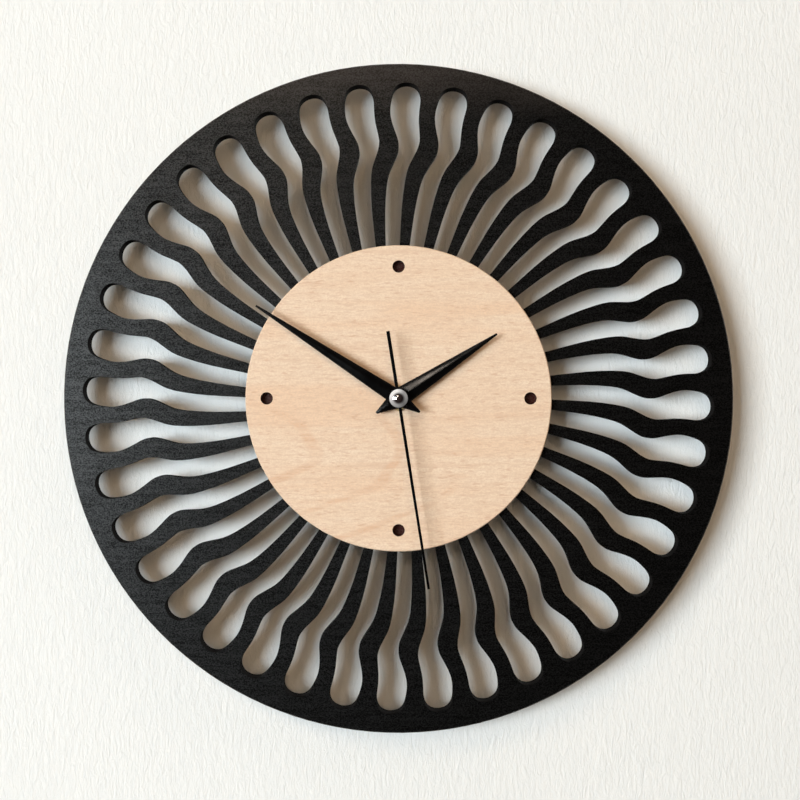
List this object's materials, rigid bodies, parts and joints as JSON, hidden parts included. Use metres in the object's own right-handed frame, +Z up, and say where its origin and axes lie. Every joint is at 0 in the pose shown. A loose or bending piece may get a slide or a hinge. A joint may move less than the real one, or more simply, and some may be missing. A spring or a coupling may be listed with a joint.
{
  "type": "wall clock",
  "caption": "Round quartz wall clock: black slotted wooden ring, plain birch disc with four dots, tapered black hands on concentric shafts, and a sealed battery movement behind.",
  "frame": {"origin": "on the hands' shaft, at the back of the movement, which rests against the wall", "axes": "+Z is up, +X is to the right of someone reading the clock, and +Y points into the wall, so the front faces -Y"},
  "size_m": [0.3, 0.032, 0.3],
  "materials": {
    "black_wood": "black lacquered plywood, satin",
    "birch": "bare sanded birch, fine level grain",
    "case_plastic": "moulded black plastic",
    "brass": "turned brass",
    "rubber": "soft black rubber",
    "white_plastic": "white acetal",
    "natural_plastic": "natural acetal",
    "red_plastic": "red acetal",
    "knob_plastic": "white moulded plastic",
    "copper_wire": "enamelled copper wire, wound",
    "soft_iron": "bright soft iron sheet",
    "board": "green circuit board",
    "black_resin": "black potting resin",
    "crystal_can": "drawn metal can",
    "battery_sleeve": "plain dark sleeve, unmarked",
    "plated_steel": "plated spring steel",
    "arbor_steel": "polished steel",
    "magnet": "dark sintered magnet",
    "black_hand": "black satin enamel on aluminium",
    "chrome": "polished chrome"
  },
  "bodies": {
    "frame": {"wave_ring": "black_wood", "face_disc": "birch", "movement_front_case": "case_plastic", "movement_back_cover": "case_plastic", "threaded_bush": "brass", "rubber_washer": "rubber", "shaft_nut": "brass", "train_plate": "white_plastic", "coil_bobbin": "natural_plastic", "coil_winding": "copper_wire", "coil_core": "soft_iron", "stator": "soft_iron", "circuit_board": "board", "controller_chip": "black_resin", "quartz_crystal": "crystal_can", "battery": "battery_sleeve", "positive_contact": "plated_steel", "negative_contact": "plated_steel", "hour_wheel_spring": "plated_steel"},
    "seconds": {"seconds_wheel": "red_plastic", "seconds_arbor": "arbor_steel", "second_hand": "black_hand", "second_hand_hub": "brass", "second_hand_cap": "chrome"},
    "intermediate": {"intermediate_wheel": "white_plastic"},
    "rotor": {"rotor_magnet": "magnet", "rotor_pinion": "natural_plastic"},
    "third": {"third_wheel": "natural_plastic"},
    "centre": {"centre_wheel": "white_plastic"},
    "minutes": {"minute_arbor": "brass", "clutch_spring": "plated_steel", "minute_hand": "black_hand", "minute_nut": "brass"},
    "motion": {"minute_wheel": "white_plastic"},
    "hours": {"hour_wheel": "natural_plastic", "hour_hand": "black_hand", "hour_hand_collet": "brass"},
    "knob": {"setting_knob": "knob_plastic"}
  },
  "joints": [
    {"name": "second_hand_turn", "type": "hinge", "parent": "frame", "child": "seconds", "pos_m": [0, -0.008, 0], "axis": [0, 1, 0], "continuous": true},
    {"name": "intermediate_wheel_turn", "type": "hinge", "parent": "frame", "child": "intermediate", "pos_m": [-0.00156, -0.008, 0.00887], "axis": [0, 1, 0], "continuous": true},
    {"name": "rotor_turn", "type": "hinge", "parent": "frame", "child": "rotor", "pos_m": [0.00329, -0.008, 0.01167], "axis": [0, 1, 0], "continuous": true},
    {"name": "third_wheel_turn", "type": "hinge", "parent": "frame", "child": "third", "pos_m": [-0.00886, -0.008, 0.00156], "axis": [0, 1, 0], "continuous": true},
    {"name": "centre_wheel_turn", "type": "hinge", "parent": "frame", "child": "centre", "pos_m": [0, -0.008, 0], "axis": [0, 1, 0], "continuous": true},
    {"name": "minute_hand_turn", "type": "hinge", "parent": "frame", "child": "minutes", "pos_m": [0, -0.008, 0], "axis": [0, 1, 0], "continuous": true},
    {"name": "minute_wheel_turn", "type": "hinge", "parent": "frame", "child": "motion", "pos_m": [0.0075, -0.008, 0.00273], "axis": [0, 1, 0], "continuous": true},
    {"name": "hour_hand_turn", "type": "hinge", "parent": "frame", "child": "hours", "pos_m": [0, -0.008, 0], "axis": [0, 1, 0], "continuous": true},
    {"name": "setting_knob_turn", "type": "hinge", "parent": "frame", "child": "knob", "pos_m": [0.01501, -0.008, 0.00546], "axis": [0, 1, 0], "continuous": true}
  ],
  "couplings": [
    {"joint": "intermediate_wheel_turn", "follows": "second_hand_turn", "ratio": -5},
    {"joint": "rotor_turn", "follows": "second_hand_turn", "ratio": 30},
    {"joint": "third_wheel_turn", "follows": "second_hand_turn", "ratio": -0.125},
    {"joint": "centre_wheel_turn", "follows": "second_hand_turn", "ratio": 0.016667},
    {"joint": "minute_wheel_turn", "follows": "minute_hand_turn", "ratio": -0.33333},
    {"joint": "hour_hand_turn", "follows": "minute_hand_turn", "ratio": 0.083333},
    {"joint": "setting_knob_turn", "follows": "minute_hand_turn", "ratio": 1}
  ]
}
